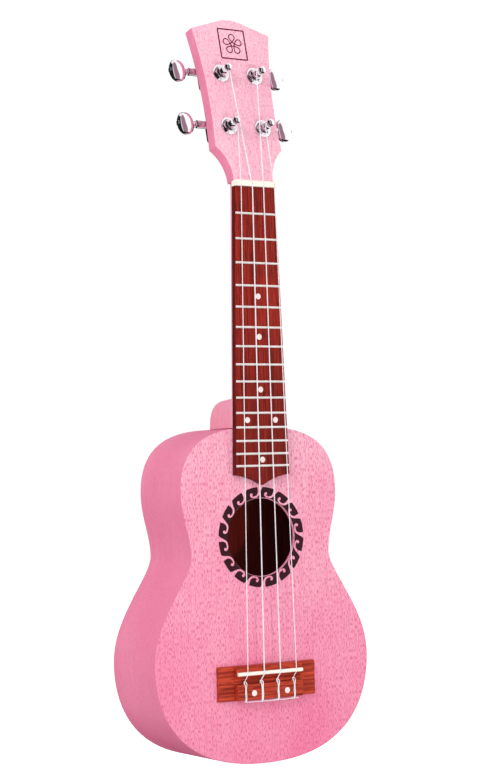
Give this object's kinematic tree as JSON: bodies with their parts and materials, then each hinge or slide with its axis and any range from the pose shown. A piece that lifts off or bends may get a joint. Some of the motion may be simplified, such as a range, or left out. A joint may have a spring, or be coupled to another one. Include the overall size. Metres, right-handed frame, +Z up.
{
  "type": "ukulele",
  "caption": "Small waisted lute with a round soundhole, fretted neck, tie-block bridge, stretched strings and geared tuners that turn their string posts.",
  "frame": {"origin": "middle of the neck, in the soundboard's plane, at the nut's string edge", "axes": "+Z up the neck to the headstock, +Y from the soundboard to the back, +X to the treble side, on the right when the strings face the viewer"},
  "size_m": [0.1786, 0.0735, 0.5398],
  "materials": {
    "pink_soundboard": "satin stain over open pores",
    "pink_head_wood": "satin stain over open pores",
    "pink_side_wood": "smooth satin stain",
    "pale_wood": "bare, sanded",
    "redwood": "oiled satin",
    "rosette_inlay": "flush, lacquered",
    "ivory": "polished",
    "dot_inlay": "polished",
    "string_nylon": "smooth",
    "fret_metal": "polished",
    "tuner_chrome": "mirror plated",
    "brass": "machined",
    "steel": "bright"
  },
  "bodies": {
    "instrument": {"soundboard": "pink_soundboard", "back": "pink_side_wood", "bass_side": "pink_side_wood", "treble_side": "pink_side_wood", "top_lining": "pale_wood", "back_lining": "pale_wood", "neck_block": "pale_wood", "tail_block": "pale_wood", "top_braces": "pale_wood", "back_braces": "pale_wood", "bridge_plate": "pale_wood", "rosette": "rosette_inlay", "neck": "pink_side_wood", "headstock": "pink_head_wood", "neck_dowels": "pale_wood", "fingerboard": "redwood", "nut": "ivory", "frets": "fret_metal", "position_dots": "dot_inlay", "bridge": "redwood", "saddle": "ivory", "bridge_dots": "dot_inlay", "bridge_screws": "brass", "tuner_housings": "tuner_chrome", "tuner_covers": "tuner_chrome", "tuner_bushings": "tuner_chrome", "tuner_washers": "tuner_chrome", "tuner_mounting_screws": "tuner_chrome", "g_string": "string_nylon", "c_string": "string_nylon", "e_string": "string_nylon", "a_string": "string_nylon"},
    "g_button": {"g_tuner_worm_shaft": "steel", "g_tuner_button": "tuner_chrome", "g_tuner_button_screw": "steel"},
    "g_post": {"g_tuner_post": "tuner_chrome", "g_tuner_gear": "brass", "g_tuner_gear_screw": "steel", "g_string_winding": "string_nylon"},
    "c_button": {"c_tuner_worm_shaft": "steel", "c_tuner_button": "tuner_chrome", "c_tuner_button_screw": "steel"},
    "c_post": {"c_tuner_post": "tuner_chrome", "c_tuner_gear": "brass", "c_tuner_gear_screw": "steel", "c_string_winding": "string_nylon"},
    "e_button": {"e_tuner_worm_shaft": "steel", "e_tuner_button": "tuner_chrome", "e_tuner_button_screw": "steel"},
    "e_post": {"e_tuner_post": "tuner_chrome", "e_tuner_gear": "brass", "e_tuner_gear_screw": "steel", "e_string_winding": "string_nylon"},
    "a_button": {"a_tuner_worm_shaft": "steel", "a_tuner_button": "tuner_chrome", "a_tuner_button_screw": "steel"},
    "a_post": {"a_tuner_post": "tuner_chrome", "a_tuner_gear": "brass", "a_tuner_gear_screw": "steel", "a_string_winding": "string_nylon"}
  },
  "joints": [
    {"name": "g_button_spin", "type": "hinge", "parent": "instrument", "child": "g_button", "pos_m": [-0.0143, 0.02106, 0.04732], "axis": [-1, 0, 0], "continuous": true},
    {"name": "g_post_spin", "type": "hinge", "parent": "instrument", "child": "g_post", "pos_m": [-0.0143, 0.00604, 0.04476], "axis": [0, 0.9724, -0.2334], "continuous": true},
    {"name": "c_button_spin", "type": "hinge", "parent": "instrument", "child": "c_button", "pos_m": [-0.0143, 0.0307, 0.08748], "axis": [-1, 0, 0], "continuous": true},
    {"name": "c_post_spin", "type": "hinge", "parent": "instrument", "child": "c_post", "pos_m": [-0.0143, 0.01568, 0.08492], "axis": [0, 0.9724, -0.2334], "continuous": true},
    {"name": "e_button_spin", "type": "hinge", "parent": "instrument", "child": "e_button", "pos_m": [0.0143, 0.0307, 0.08748], "axis": [1, 0, 0], "continuous": true},
    {"name": "e_post_spin", "type": "hinge", "parent": "instrument", "child": "e_post", "pos_m": [0.0143, 0.01568, 0.08492], "axis": [0, 0.9724, -0.2334], "continuous": true},
    {"name": "a_button_spin", "type": "hinge", "parent": "instrument", "child": "a_button", "pos_m": [0.0143, 0.02106, 0.04732], "axis": [1, 0, 0], "continuous": true},
    {"name": "a_post_spin", "type": "hinge", "parent": "instrument", "child": "a_post", "pos_m": [0.0143, 0.00604, 0.04476], "axis": [0, 0.9724, -0.2334], "continuous": true}
  ],
  "couplings": [
    {"joint": "g_post_spin", "follows": "g_button_spin", "ratio": -0.071429},
    {"joint": "c_post_spin", "follows": "c_button_spin", "ratio": -0.071429},
    {"joint": "e_post_spin", "follows": "e_button_spin", "ratio": -0.071429},
    {"joint": "a_post_spin", "follows": "a_button_spin", "ratio": -0.071429}
  ]
}
